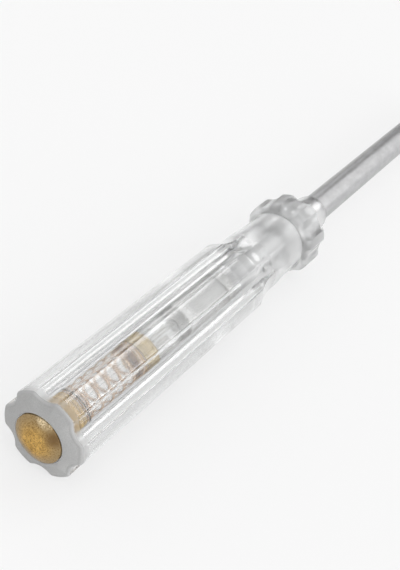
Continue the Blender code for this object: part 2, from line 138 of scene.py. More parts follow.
def shares(count):
    """Even shares of a way, from its first step to the whole."""
    return [i / count for i in range(1, count + 1)]


def between(start, end, share):
    """The value at a share of the way from start to end."""
    return start + (end - start) * share


def eased(share):
    """A share from 0 to 1 that starts and ends level."""
    return share * share * (3 - 2 * share)


def quarter(start, end, steps=8, axial_first=False):
    """Points (station, radius) of a rounded corner from start to end, both included."""
    points = []
    for share in (0, *shares(steps)):
        axial, radial = 1 - math.cos(math.pi / 2 * share), math.sin(math.pi / 2 * share)
        if axial_first:
            axial, radial = radial, axial
        points.append((between(start[0], end[0], axial), between(start[1], end[1], radial)))
    return points


def drawn_on(form, ring, place):
    """Extrudes a ring of edges once and puts each new vertex where place gives it, from its own angle."""
    grown = bmesh.ops.extrude_edge_only(form, edges=ring)["geom"]
    new = {part for part in grown if isinstance(part, bmesh.types.BMVert)}
    for vertex in new:
        vertex.co = place(math.atan2(-vertex.co.y, vertex.co.z - AXIS_Z))
    return [part for part in grown if isinstance(part, bmesh.types.BMEdge) and set(part.verts) <= new]


def first_ring(form, place, sides):
    """A ring of edges round the tool's axis, with each vertex where place gives it."""
    made = bmesh.ops.create_circle(form, segments=sides, radius=1)["verts"]
    for vertex in made:
        vertex.co = place(math.atan2(vertex.co.x, vertex.co.y))
    return list(form.edges)


def lofted(form, places, sides):
    """A skin of rings, each placed by one of the functions. Returns its first and its last ring."""
    start = ring = first_ring(form, places[0], sides)
    for place in places[1:]:
        ring = drawn_on(form, ring, place)
    return start, ring


def piece(name, form, finishes, smooth=30):
    """An object from a bmesh, with its normals outward and its flat faces kept crisp."""
    bmesh.ops.recalc_face_normals(form, faces=form.faces)
    mesh = bpy.data.meshes.new(name)
    form.to_mesh(mesh)
    form.free()
    mesh.shade_smooth()
    mesh.set_sharp_from_angle(angle=math.radians(smooth))
    for made in finishes:
        mesh.materials.append(made)
    thing = bpy.data.objects.new(name, mesh)
    bpy.context.scene.collection.objects.link(thing)
    return thing


def handle_rings():
    """Rings of the moulding's skin, from its nose over the butt and through the bores to its socket.

    Each is (station, crest radius, depth of the body's flutes, depth of the flange's notches).
    """
    rings = [(NOSE_END, SHAFT_RADIUS - MOULDED_ON, 0, 0)]
    nose = quarter((NOSE_END, NOSE_RADIUS_FRONT - NOSE_FILLET), (NOSE_END - NOSE_FILLET, NOSE_RADIUS_FRONT))
    rings += [(station, radius, 0, 0) for station, radius in nose]
    for share in (0.3, 0.6, 0.85, 0.97):
        station = between(NOSE_END - NOSE_FILLET, FLANGE_END, share)
        rings.append((station, between(NOSE_RADIUS_FRONT, NOSE_RADIUS_REAR, share), 0, 0))
    front = quarter((FLANGE_END, NOSE_RADIUS_REAR), (FLANGE_END - FLANGE_FRONT_FILLET, FLANGE_RADIUS),
                    steps=14)
    for station, radius in front:
        rise = (radius - NOSE_RADIUS_REAR) / (FLANGE_RADIUS - NOSE_RADIUS_REAR)
        rings.append((station, radius, 0, FLANGE_NOTCH * rise))
    for share in (0.25, 0.5, 0.75):
        station = between(FLANGE_END - FLANGE_FRONT_FILLET, NECK_END + FLANGE_REAR_FILLET, share)
        rings.append((station, FLANGE_RADIUS, 0, FLANGE_NOTCH))
    rear = quarter((NECK_END + FLANGE_REAR_FILLET, FLANGE_RADIUS), (NECK_END, NECK_RADIUS_FRONT),
                   steps=14, axial_first=True)
    for station, radius in rear:
        rise = (radius - NECK_RADIUS_FRONT) / (FLANGE_RADIUS - NECK_RADIUS_FRONT)
        rings.append((station, radius, 0, FLANGE_NOTCH * rise))
    for share in shares(16):
        radius = between(NECK_RADIUS_FRONT, NECK_RADIUS_REAR, eased(share))
        rings.append((between(NECK_END, NECK_START, share), radius, NECK_FLUTE * share, 0))
    for share in shares(16):
        radius = between(NECK_RADIUS_REAR, BODY_RADIUS_FRONT, share ** SCOOP)
        depth = between(NECK_FLUTE, BODY_FLUTE, eased(share))
        rings.append((between(NECK_START, BODY_END, share), radius, depth, 0))
    for share in shares(20):
        radius = between(BODY_RADIUS_FRONT, BODY_RADIUS_BUTT, share)
        rings.append((between(BODY_END, BUTT_EDGE, share), radius, BODY_FLUTE, 0))
    face_radius = BODY_RADIUS_BUTT - BUTT_FILLET_DEPTH
    butt = quarter((BUTT_EDGE, BODY_RADIUS_BUTT), (FACE_EDGE, face_radius), steps=10, axial_first=True)
    rings += [(station, radius, BODY_FLUTE, 0) for station, radius in butt[1:]]
    for share in shares(14):
        left = 1 - share
        radius = between(RECESS_RADIUS, face_radius, left)
        rings.append((between(LIP, FACE_EDGE, left ** FACE_CROWN_POWER), radius, BODY_FLUTE * left, 0))
    rings += [(RECESS_FLOOR, RECESS_RADIUS, 0, 0), (RECESS_FLOOR, THREAD_BORE_RADIUS, 0, 0)]
    rings += [(THREAD_BORE_END, THREAD_BORE_RADIUS, 0, 0), (THREAD_BORE_END, BORE_RADIUS, 0, 0)]
    rings += [(BORE_END * share, BORE_RADIUS, 0, 0) for share in shares(4)]
    rings += [(BORE_END, TANG_RADIUS - MOULDED_ON, 0, 0), (TANG_END, TANG_RADIUS - MOULDED_ON, 0, 0)]
    rings += [(CONE_END, SHAFT_RADIUS - MOULDED_ON, 0, 0)]
    rings += [(between(CONE_END, NOSE_END, share), SHAFT_RADIUS - MOULDED_ON, 0, 0)
              for share in (0.3, 0.6, 0.9)]
    return rings


def on_ring(ring):
    """Where a vertex of one ring of the moulding lies, as a function of its angle."""
    station, crest, flute, notch = ring

    def place(angle):
        radius = crest
        if flute:
            radius -= flute * fluted(angle, BODY_LOBES, BODY_FLUTE / BODY_RADIUS_BUTT, BODY_EDGE_SOFTNESS)
            off = abs((angle - FACING + math.pi / 2) % math.pi - math.pi / 2)
            radius += PARTING_RISE * max(1 - off / PARTING_WIDTH, 0)
        if notch:
            radius -= notch * fluted(angle, FLANGE_LOBES, FLANGE_NOTCH / FLANGE_RADIUS, FLANGE_EDGE_SOFTNESS)
        return around(station, radius, angle)

    return place


def grain_effect():
    """A node group for uneven patches, specks or a grain, as a value from 0 to 1.

    Repeats gives their number per metre on each axis.
    """
    group = bpy.data.node_groups.new("grain", "ShaderNodeTree")
    for label, kind in (("Repeats", "NodeSocketVector"), ("Detail", "NodeSocketFloat"),
                        ("Low", "NodeSocketFloat"), ("High", "NodeSocketFloat")):
        group.interface.new_socket(name=label, in_out="INPUT", socket_type=kind)
    group.interface.new_socket(name="Value", in_out="OUTPUT", socket_type="NodeSocketFloat")
    nodes, links = group.nodes, group.links
    given, result = nodes.new("NodeGroupInput"), nodes.new("NodeGroupOutput")
    where = nodes.new("ShaderNodeTexCoord")
    spread = nodes.new("ShaderNodeVectorMath")
    spread.operation = "MULTIPLY"
    links.new(where.outputs["Object"], spread.inputs[0])
    links.new(given.outputs["Repeats"], spread.inputs[1])
    noise = nodes.new("ShaderNodeTexNoise")
    noise.inputs["Scale"].default_value = 1
    links.new(spread.outputs["Vector"], noise.inputs["Vector"])
    links.new(given.outputs["Detail"], noise.inputs["Detail"])
    limits = nodes.new("ShaderNodeMapRange")
    links.new(noise.outputs["Fac"], limits.inputs["Value"])
    links.new(given.outputs["Low"], limits.inputs["From Min"])
    links.new(given.outputs["High"], limits.inputs["From Max"])
    links.new(limits.outputs["Result"], result.inputs["Value"])
    return group


GRAIN = grain_effect()


def finish(name, **constants):
    """A Principled material whose constants sit on the shader's own sockets."""
    made = bpy.data.materials.new(name)
    made.use_nodes = True
    shader = made.node_tree.nodes["Principled BSDF"]
    for label, value in constants.items():
        shader.inputs[label.replace("_", " ")].default_value = value
    return made


def placed(made, group, **values):
    """A node group in a material, with its own values. Returns its first output."""
    node = made.node_tree.nodes.new("ShaderNodeGroup")
    node.node_tree = group
    for label, value in values.items():
        node.inputs[label].default_value = value
    return node.outputs[0]


def ramped(made, value, start, end, low=0.0, high=1.0, ease="SMOOTHSTEP"):
    """A value that goes from low to high while another goes from start to end."""
    ramp = made.node_tree.nodes.new("ShaderNodeMapRange")
    ramp.interpolation_type = ease
    ramp.inputs["From Min"].default_value, ramp.inputs["From Max"].default_value = start, end
    ramp.inputs["To Min"].default_value, ramp.inputs["To Max"].default_value = low, high
    made.node_tree.links.new(value, ramp.inputs["Value"])
    return ramp.outputs["Result"]


def feed(made, label, value, low, high):
    """Feeds a socket of the shader: low where the value is 0 and high where it is 1.

    Both are numbers, or both are colours, and a colour can also be what an earlier feed gave.
    """
    nodes, links = made.node_tree.nodes, made.node_tree.links
    socket = nodes["Principled BSDF"].inputs[label]
    if isinstance(low, float):
        fed = ramped(made, value, 0.0, 1.0, low, high, "LINEAR")
    else:
        mix = nodes.new("ShaderNodeMix")
        mix.data_type = "RGBA"
        links.new(value, mix.inputs[0])
        for end, colour in ((mix.inputs[6], low), (mix.inputs[7], high)):
            if isinstance(colour, tuple):
                end.default_value = (*colour, 1)
            else:
                links.new(colour, end)
        fed = mix.outputs[2]
    links.new(fed, socket)
    return fed


def worked_out(made, operation, one, other=0.0):
    """The result of one step of arithmetic on two values, which can also be plain numbers."""
    step = made.node_tree.nodes.new("ShaderNodeMath")
    step.operation = operation
    for socket, value in zip(step.inputs, (one, other)):
        if isinstance(value, (int, float)):
            socket.default_value = value
        else:
            made.node_tree.links.new(value, socket)
    return step.outputs["Value"]


def along(made, direction, coordinates="Object"):
    """How far a place, or a way in the sky, lies along a direction."""
    nodes, links = made.node_tree.nodes, made.node_tree.links
    dot = nodes.new("ShaderNodeVectorMath")
    dot.operation = "DOT_PRODUCT"
    dot.inputs[1].default_value = Vector(direction).normalized()
    links.new(nodes.new("ShaderNodeTexCoord").outputs[coordinates], dot.inputs[0])
    return dot.outputs["Value"]


def by_station(made, start, end, low=0.0, high=1.0):
    """A value that goes from low to high between two stations from the butt."""
    return ramped(made, along(made, (1, 0, 0)), BUTT_X + start, BUTT_X + end, low, high)


def near_line(made, place, near, far):
    """1 within the near distance of a line along the tool through a place, and 0 beyond the far one."""
    nodes, links = made.node_tree.nodes, made.node_tree.links
    offset = nodes.new("ShaderNodeVectorMath")
    offset.operation = "SUBTRACT"
    offset.inputs[1].default_value = place
    links.new(nodes.new("ShaderNodeTexCoord").outputs["Object"], offset.inputs[0])
    across = nodes.new("ShaderNodeVectorMath")
    across.operation = "MULTIPLY"
    across.inputs[1].default_value = (0, 1, 1)
    links.new(offset.outputs["Vector"], across.inputs[0])
    distance = nodes.new("ShaderNodeVectorMath")
    distance.operation = "LENGTH"
    links.new(across.outputs["Vector"], distance.inputs[0])
    return ramped(made, distance.outputs["Value"], near, far, 1.0, 0.0)


def raised(made, value, height):
    """Bumps the surface by a height in metres where the value is 1."""
    nodes, links = made.node_tree.nodes, made.node_tree.links
    bump = nodes.new("ShaderNodeBump")
    bump.inputs["Strength"].default_value = 1
    bump.inputs["Distance"].default_value = height
    links.new(value, bump.inputs["Height"])
    links.new(bump.outputs["Normal"], nodes["Principled BSDF"].inputs["Normal"])


clear_plastic = finish("clear acetate", Transmission_Weight=1.0, IOR=1.49, Coat_Weight=1.0,
                       Coat_Roughness=0.12)
flow = placed(clear_plastic, GRAIN, Repeats=(120, 260, 260), Detail=1.0, Low=0.2, High=0.8)
handling = placed(clear_plastic, GRAIN, Repeats=(900, 1500, 1500), Detail=4.0, Low=0.5, High=0.75)
worn = ramped(clear_plastic, handling, 0.0, 1.0, 0.17, 0.21, "LINEAR")
rear_gloss = by_station(clear_plastic, GLOSS_START, GLOSS_END, 0.74, 1.0)
worn = worked_out(clear_plastic, "MULTIPLY", worn, rear_gloss)
butt_haze = by_station(clear_plastic, FACE_EDGE, BUTT_HAZE_END, 0.6, 0.1)
neck_haze = by_station(clear_plastic, NECK_HAZE_START, NECK_HAZE_END, 0.1, 0.30)
haze = worked_out(clear_plastic, "MAXIMUM", butt_haze, worn)
haze = worked_out(clear_plastic, "MAXIMUM", haze, neck_haze)
feed(clear_plastic, "Roughness", haze, 0.0, 1.0)
# A paler tint towards the neck and flange is painted light, which brightens them.
neck_painted_light = by_station(clear_plastic, NECK_LIGHT_START, NECK_LIGHT_END)
tint = feed(clear_plastic, "Base Color", neck_painted_light, (0.72, 0.725, 0.725), (0.81, 0.815, 0.815))
# Round the bore the tint is near white: painted light, which brightens what is seen through the bore.
bore_painted_light = near_line(clear_plastic, around(0, 0, 0), *BORE_LIGHT_RADII)
feed(clear_plastic, "Base Color", bore_painted_light, tint, (0.98, 0.98, 0.98))
raised(clear_plastic, flow, FLOW_HEIGHT)

frosted_plastic = finish("frosted acetate", Roughness=0.55)
tooth = placed(frosted_plastic, GRAIN, Repeats=(9000, 9000, 9000), Detail=3.0, Low=0.3, High=0.7)
ground = feed(frosted_plastic, "Base Color", tooth, (0.33, 0.33, 0.328), (0.43, 0.43, 0.425))
# The fillet at the face's edge is painted lighter: a painted highlight.
edge_painted_highlight = by_station(frosted_plastic, FACE_EDGE, EDGE_HIGHLIGHT_END)
feed(frosted_plastic, "Base Color", edge_painted_highlight, ground, (0.41, 0.41, 0.41))
raised(frosted_plastic, tooth, TOOTH_HEIGHT)

form = bmesh.new()
first, last = lofted(form, [on_ring(ring) for ring in handle_rings()], HANDLE_SIDES)
bmesh.ops.bridge_loops(form, edges=first + last)
for face in form.faces:
    middle = face.calc_center_median()
    out = math.hypot(middle.y, middle.z - AXIS_Z)
    face.material_index = int(middle.x < BUTT_X + BUTT_EDGE and out > RECESS_RADIUS * JUST_OUTSIDE)
handle = piece("handle_clear", form, [clear_plastic, frosted_plastic])
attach(handle, "handle")
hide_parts("handle_moulding")

# The blade is round steel stock, turned down to a thin tang with flat barbs that key it into the neck.
# Inside the handle its colour is painted bright, as painted light. Its far end is ground to a slotted tip,
# and its surface keeps the satin grain of drawing.
BARBS = (0.0489, 0.0513, 0.0537)
BARB_LENGTH = 0.0014
BARB_SPAN = 0.0034
BARB_THICKNESS = 0.0012
BARB_SOFTENING = 0.0003
TANG_START = 0.0402
TANG_CHAMFER = 0.00012
TIP = 0.1478
BLADE_HEEL = 0.1348
BLADE_LAND = 0.1458
BLADE_THICKNESS = 0.0008
TIP_CHAMFER = 0.00015
SHAFT_SIDES = 128
GROUND_CRISPNESS = 14
TANG_LIGHT_START = 0.0410
TANG_LIGHT_FULL = 0.0470
TANG_LIGHT_FADES = 0.0700
TANG_LIGHT_END = 0.0730
DRAW_LINE_HEIGHT = 0.000002


def closed(form, places, sides):
    """A skin of rings with a flat face over each end."""
    for ring in lofted(form, places, sides):
        bmesh.ops.edgeloop_fill(form, edges=ring)


def on_blade(station, radius):
    """Where a vertex of the blade lies: on the round stock, or on a ground flat where that is lower."""
    share = max(station - BLADE_HEEL, 0) / (BLADE_LAND - BLADE_HEEL)
    half = between(SHAFT_RADIUS, BLADE_THICKNESS / 2, min(share, 1))

    def place(angle):
        point = around(station, radius, angle)
        if share > 0:
            rise = abs(point.z - AXIS_Z) / half
            point.z = AXIS_Z + (point.z - AXIS_Z) / (1 + rise ** GROUND_CRISPNESS) ** (1 / GROUND_CRISPNESS)
        return point

    return place


satin_steel = finish("satin steel", Metallic=1.0)
draw_lines = placed(satin_steel, GRAIN, Repeats=(300, 22000, 22000), Detail=3.0, Low=0.3, High=0.7)
rub = placed(satin_steel, GRAIN, Repeats=(500, 900, 900), Detail=5.0, Low=0.35, High=0.7)
bare_steel = feed(satin_steel, "Base Color", rub, (0.47, 0.47, 0.475), (0.55, 0.55, 0.555))
# Inside the handle the steel is painted bright: painted light, which brightens it as seen through the neck.
tang_painted_light = worked_out(satin_steel, "MULTIPLY", by_station(satin_steel, TANG_LIGHT_START, TANG_LIGHT_FULL),
                    by_station(satin_steel, TANG_LIGHT_FADES, TANG_LIGHT_END, 1.0, 0.0))
feed(satin_steel, "Base Color", tang_painted_light, bare_steel, (0.90, 0.90, 0.90))
feed(satin_steel, "Roughness", draw_lines, 0.34, 0.48)
raised(satin_steel, draw_lines, DRAW_LINE_HEIGHT)

form = bmesh.new()
profile = [(TANG_START, TANG_RADIUS - TANG_CHAMFER), (TANG_START + TANG_CHAMFER, TANG_RADIUS),
           (TANG_END, TANG_RADIUS), (CONE_END, SHAFT_RADIUS)]
profile += [(between(CONE_END, BLADE_HEEL, share), SHAFT_RADIUS) for share in shares(8)]
profile += [(between(BLADE_HEEL, BLADE_LAND, share), SHAFT_RADIUS) for share in shares(40)]
profile += [(TIP - TIP_CHAMFER, SHAFT_RADIUS), (TIP, SHAFT_RADIUS - TIP_CHAMFER)]
closed(form, [on_blade(*point) for point in profile], SHAFT_SIDES)
for station in BARBS:
    barb = bmesh.ops.create_cube(form, size=1)["verts"]
    bmesh.ops.scale(form, vec=(BARB_LENGTH, BARB_SPAN, BARB_THICKNESS), verts=barb)
    bmesh.ops.translate(form, vec=around(station + BARB_LENGTH / 2, 0, 0), verts=barb)
    edges = list({edge for vertex in barb for edge in vertex.link_edges})
    bmesh.ops.bevel(form, geom=edges, offset=BARB_SOFTENING, affect="EDGES", segments=4, profile=0.5,
                    material=-1)
blade = piece("blade", form, [satin_steel])
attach(blade, "handle")
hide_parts("shaft")

# The touch cap is turned from brass bar. Its domed head sits in the butt's recess for a fingertip, and
# its shank screws into the bore and presses the spring. Its rim is painted darker as painted shade,
# greyer still away from the facing lobe, with a painted highlight and a darker mottled patch towards it.
CAP_TOP = -0.0022
CAP_RIM = -0.00145
CAP_SEAT = -0.0003
SHANK_END = 0.00405
CAP_RADIUS = 0.00345
CAP_LAND_RADIUS = 0.0012
CAP_EDGE = 0.0001
SHANK_RADIUS = 0.00245
THREAD_PITCH = 0.0008
THREAD_DEPTH = 0.00016
THREAD_RUN_OUT = 0.0004
POINTS_PER_RIDGE = 8
SHANK_CHAMFER = 0.0002
ROUND_SIDES = 96
# Patches on the cap: painted shade round the rim, a painted highlight, a darker mottled patch, and painted
# shade away from the facing lobe.
RIM_SHADE = (0, 0, 0.0010, 0.0033)
HIGHLIGHT_PATCH = (0.0046, -0.25, 0.0014, 0.0022)
DARK_PATCH = (0.0031, 0.5, 0.0002, 0.0017)
SIDE_SHADE = (0.0042, math.pi, 0.0010, 0.0031)
PIT_DEPTH = 0.00001


def at(station, radius):
    """Where a vertex of a plain turned ring lies, as a function of its angle."""
    return lambda angle: around(station, radius, angle)


def turned(form, profile, sides=ROUND_SIDES):
    """A turned shape from (station, radius) points, closed by flat ends."""
    closed(form, [at(*point) for point in profile], sides)


def softened(corners, steps=5):
    """An outline of (station, radius) from corners (station, radius, rounding), which are rounded off."""
    points = []
    for i, (station, radius, rounding) in enumerate(corners):
        here = Vector((station, radius))
        if not rounding:
            points.append(tuple(here))
            continue
        before = Vector(corners[i - 1][:2]) - here
        after = Vector(corners[(i + 1) % len(corners)][:2]) - here
        for share in (0, *shares(steps)):
            bend = before.normalized() * (1 - share) ** 2 + after.normalized() * share ** 2
            points.append(tuple(here + bend * rounding))
    return points


def mark(distance, turn, near, far):
    """A patch on the cap, from its distance off the axis, its turn from the facing lobe and its radii."""
    return near_line(cap_brass, around(0, distance, FACING + turn), near, far)


cap_brass = finish("worn cap brass", Metallic=1.0)
tarnish = placed(cap_brass, GRAIN, Repeats=(1500, 1500, 1500), Detail=8.0, Low=0.3, High=0.7)
specks = placed(cap_brass, GRAIN, Repeats=(6500, 6500, 6500), Detail=4.0, Low=0.5, High=0.66)
pits = placed(cap_brass, GRAIN, Repeats=(7000, 7000, 7000), Detail=3.0, Low=0.35, High=0.65)
# A bright patch on the rim is a painted highlight.
painted_highlight = worked_out(cap_brass, "MULTIPLY", mark(*HIGHLIGHT_PATCH), ramped(cap_brass, tarnish, -0.3, 0.7))
# A darker mottled patch lies on the dome near the highlight.
dark_patch = worked_out(cap_brass, "MULTIPLY", mark(*DARK_PATCH), ramped(cap_brass, tarnish, -0.5, 0.5))
on_shank = by_station(cap_brass, CAP_SEAT - 2 * CAP_EDGE, CAP_SEAT)
shade = feed(cap_brass, "Base Color", tarnish, (0.44, 0.26, 0.07), (0.78, 0.49, 0.14))
# The rim is painted darker than the middle: painted shade.
shade = feed(cap_brass, "Base Color", mark(*RIM_SHADE), (0.40, 0.29, 0.15), shade)
for patch, colour in (
    (painted_highlight, (0.92, 0.76, 0.50)),
    (dark_patch, (0.21, 0.13, 0.06)),
    # The rim away from the facing lobe is painted greyer: painted shade.
    (mark(*SIDE_SHADE), (0.30, 0.25, 0.18)),
    (specks, (0.24, 0.14, 0.05)),
    (on_shank, (0.62, 0.42, 0.15)),
):
    shade = feed(cap_brass, "Base Color", patch, shade, colour)
feed(cap_brass, "Roughness", pits, 0.32, 0.55)
raised(cap_brass, pits, PIT_DEPTH)

form = bmesh.new()
dome = [(CAP_TOP, CAP_LAND_RADIUS * 0.5)]
for share in (0, *shares(12)):
    radius = between(CAP_LAND_RADIUS, CAP_RADIUS - CAP_EDGE, share)
    dome.append((between(CAP_TOP, CAP_RIM, share * share), radius))
dome += quarter((CAP_RIM, CAP_RADIUS - CAP_EDGE), (CAP_RIM + CAP_EDGE, CAP_RADIUS), steps=4)[1:]
shank = [(CAP_SEAT - CAP_EDGE, CAP_RADIUS), (CAP_SEAT, CAP_RADIUS - CAP_EDGE)]
shank.append((CAP_SEAT, SHANK_RADIUS - THREAD_DEPTH))
for i in range(1, int((SHANK_END - CAP_SEAT - THREAD_RUN_OUT) / THREAD_PITCH * POINTS_PER_RIDGE)):
    station = CAP_SEAT + CAP_EDGE + i * THREAD_PITCH / POINTS_PER_RIDGE
    height = 0.5 + 0.5 * math.cos(2 * math.pi * i / POINTS_PER_RIDGE)
    shank.append((station, SHANK_RADIUS - THREAD_DEPTH * (1 - height)))
shank.append((SHANK_END - SHANK_CHAMFER, SHANK_RADIUS - THREAD_DEPTH))
shank.append((SHANK_END, SHANK_RADIUS - 2 * SHANK_CHAMFER))
turned(form, dome + shank)
cap = piece("touch_cap", form, [cap_brass], smooth=40)
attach(cap, "cap")
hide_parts("contact_cap")

# The spring is wound from round copper-toned brass wire. It joins the cap to the lamp's ferrule and
# pushes the lamp stack against the blade's tang. Its end turns are closed, so that they stand square.
SPRING_START = 0.00415
SPRING_END = 0.01805
SPRING_RADIUS = 0.001675
WIRE_RADIUS = 0.000225
PITCH = 0.00225
CLOSED_PITCH = 0.0005
CLOSED_LENGTH = 0.0005
OPENING_LENGTH = 0.0010
FIRST_FRONT = 0.0052875
POINTS_PER_TURN = 40
MEETING_TURN = 2.0
WELD_DISTANCE = 0.000001


def wire_path():
    """Points (station, turns) along the wire from its middle to each end, where its pitch closes up."""
    step = 1 / POINTS_PER_TURN
    low, high = SPRING_START + WIRE_RADIUS, SPRING_END - WIRE_RADIUS

    def pitch(station):
        near = min(station - low, high - station)
        opened = min(max((near - CLOSED_LENGTH) / OPENING_LENGTH, 0), 1)
        return between(CLOSED_PITCH, PITCH, eased(opened))

    middle = (FIRST_FRONT + PITCH * MEETING_TURN, MEETING_TURN)
    rear, front = [middle], [middle]
    while rear[-1][0] > low:
        station, turn = rear[-1]
        rear.append((station - pitch(station) * step, turn - step))
    while front[-1][0] < high:
        station, turn = front[-1]
        front.append((station + pitch(station) * step, turn + step))
    return rear, front


def wire(name, path, made):
    """A round wire along part of the spring, with flat ends."""
    curve = bpy.data.curves.new(name, "CURVE")
    curve.dimensions = "3D"
    curve.bevel_depth = WIRE_RADIUS
    curve.bevel_resolution = 5
    curve.use_fill_caps = True
    line = curve.splines.new("POLY")
    line.points.add(len(path) - 1)
    for place, (station, turn) in zip(line.points, path):
        place.co = (*around(station, SPRING_RADIUS, FACING - 2 * math.pi * turn), 1)
    drawn = bpy.data.objects.new(name + "_line", curve)
    bpy.context.scene.collection.objects.link(drawn)
    bpy.context.view_layer.update()
    mesh = bpy.data.meshes.new_from_object(drawn.evaluated_get(bpy.context.evaluated_depsgraph_get()))
    bpy.data.objects.remove(drawn)
    form = bmesh.new()
    form.from_mesh(mesh)
    bpy.data.meshes.remove(mesh)
    bmesh.ops.remove_doubles(form, verts=form.verts, dist=WELD_DISTANCE)
    return piece(name, form, [made], smooth=50)


spring_brass = finish("spring wire", Metallic=1.0)
drawing = placed(spring_brass, GRAIN, Repeats=(2500, 2500, 2500), Detail=4.0, Low=0.35, High=0.7)
feed(spring_brass, "Base Color", drawing, (0.50, 0.33, 0.20), (0.78, 0.61, 0.45))
feed(spring_brass, "Roughness", drawing, 0.3, 0.16)

rear_path, front_path = wire_path()
meeting = around(rear_path[0][0], 0, 0)
spring_rear = wire("spring_rear_turns", rear_path, spring_brass)
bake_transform(spring_rear)
spring_front = wire("spring_front_turns", front_path, spring_brass)
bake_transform(spring_front)
for half in (spring_rear, spring_front):
    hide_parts("contact_spring")

# The lamp's ferrule is a thin brass cup, drawn and spun over at its mouths. Its rear socket holds the
# spring's last turn, and its front socket holds the glass and touches the lamp's rear wire.
FERRULE_START = 0.01695
FERRULE_END = 0.01955
FERRULE_RADIUS = 0.0022
FERRULE_WALL = 0.0002
FERRULE_FLOOR_START = 0.01815
FERRULE_FLOOR_END = 0.01845
FERRULE_HOLE = 0.0001
FERRULE_CORNER = 0.0001
FERRULE_LIP = 0.00009
ROLL_LENGTH = 0.0004
ROLL_END = 0.0005
ROLL_HEIGHT = 0.00006
ROLL_CORNER = 0.00005
MOUTH_LIGHT_RADII = (0.00202, 0.00208)

ferrule_brass = finish("bright ferrule brass", Metallic=1.0)
spun = placed(ferrule_brass, GRAIN, Repeats=(9000, 600, 600), Detail=2.0, Low=0.3, High=0.7)
spun_lines = feed(ferrule_brass, "Base Color", spun, (0.33, 0.24, 0.10), (0.49, 0.38, 0.19))
# The inside of the cup is painted bright: painted light, which lifts the shade of its cavity.
mouth_painted_light = near_line(ferrule_brass, around(0, 0, 0), *MOUTH_LIGHT_RADII)
feed(ferrule_brass, "Base Color", mouth_painted_light, spun_lines, (0.95, 0.68, 0.30))
feed(ferrule_brass, "Roughness", spun, 0.22, 0.4)

form = bmesh.new()
inner = FERRULE_RADIUS - FERRULE_WALL
waist = FERRULE_RADIUS - ROLL_HEIGHT
turned(form, softened([
    (FERRULE_FLOOR_START, FERRULE_HOLE, 0), (FERRULE_FLOOR_START, inner, FERRULE_CORNER),
    (FERRULE_START, inner, FERRULE_LIP), (FERRULE_START, FERRULE_RADIUS, FERRULE_LIP),
    (FERRULE_START + ROLL_LENGTH, FERRULE_RADIUS, FERRULE_CORNER),
    (FERRULE_START + ROLL_END, waist, ROLL_CORNER), (FERRULE_END - ROLL_END, waist, ROLL_CORNER),
    (FERRULE_END - ROLL_LENGTH, FERRULE_RADIUS, FERRULE_CORNER),
    (FERRULE_END, FERRULE_RADIUS, FERRULE_LIP), (FERRULE_END, inner, FERRULE_LIP),
    (FERRULE_FLOOR_END, inner, FERRULE_CORNER), (FERRULE_FLOOR_END, FERRULE_HOLE, 0),
]))
ferrule = piece("lamp_ferrule_cup", form, [ferrule_brass], smooth=50)
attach(ferrule, "lamp_cartridge")
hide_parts("lamp_ferrule")

# The lamp's glass is a drawn tube with its front melted to a dome round the front wire. Its rear is
# closed by a pressed bead of the same glass round the rear wire.
GLASS_START = 0.01855
GLASS_END = 0.02715
GLASS_RADIUS = 0.0019
GLASS_WALL = 0.00025
GLASS_DOME = 0.0033
GLASS_LIP = 0.0001
GLASS_TIP_RADIUS = 0.00002
TUBE_END = GLASS_END - GLASS_DOME - 0.001
RIPPLE_HEIGHT = 0.00001
BEAD_GAP = 0.0001
BEAD_HOLE = 0.0002
BEAD_ROUNDING = 0.0003
SEAL_END = 0.01975

lamp_glass = finish("lamp glass", Base_Color=(0.985, 0.99, 0.985, 1), Transmission_Weight=1.0, IOR=1.5)
ripple = placed(lamp_glass, GRAIN, Repeats=(200, 2500, 2500), Detail=1.0, Low=0.2, High=0.8)
feed(lamp_glass, "Roughness", ripple, 0.0, 0.03)
raised(lamp_glass, ripple, RIPPLE_HEIGHT)

form = bmesh.new()
inner = GLASS_RADIUS - GLASS_WALL
inside = quarter((GLASS_END - GLASS_DOME, inner), (GLASS_END - GLASS_WALL, GLASS_TIP_RADIUS),
                 steps=16, axial_first=True)
outside = quarter((GLASS_END - GLASS_DOME, GLASS_RADIUS), (GLASS_END, GLASS_TIP_RADIUS),
                  steps=16, axial_first=True)
rim = softened([(TUBE_END, inner, 0), (GLASS_START, inner, GLASS_LIP),
                (GLASS_START, GLASS_RADIUS, GLASS_LIP), (TUBE_END, GLASS_RADIUS, 0)])
turned(form, inside[::-1] + rim + outside)
glass = piece("lamp_glass_tube", form, [lamp_glass], smooth=60)
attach(glass, "lamp_cartridge")
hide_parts("lamp_glass")

bead_glass = finish("pressed bead glass", Roughness=0.15, Transmission_Weight=0.6, IOR=1.5)
swirl = placed(bead_glass, GRAIN, Repeats=(3000, 3000, 3000), Detail=2.0, Low=0.3, High=0.7)
feed(bead_glass, "Base Color", swirl, (0.70, 0.76, 0.70), (0.86, 0.89, 0.85))

form = bmesh.new()
bead = inner - BEAD_GAP
turned(form, softened([
    (GLASS_START, BEAD_HOLE, 0), (GLASS_START, bead, GLASS_LIP),
    (SEAL_END - BEAD_ROUNDING, bead, BEAD_ROUNDING), (SEAL_END, bead * 0.4, BEAD_ROUNDING),
    (SEAL_END, BEAD_HOLE, 0),
]))
seal = piece("lamp_bead", form, [bead_glass], smooth=50)
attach(seal, "lamp_cartridge")
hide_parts("lamp_seal_rear")

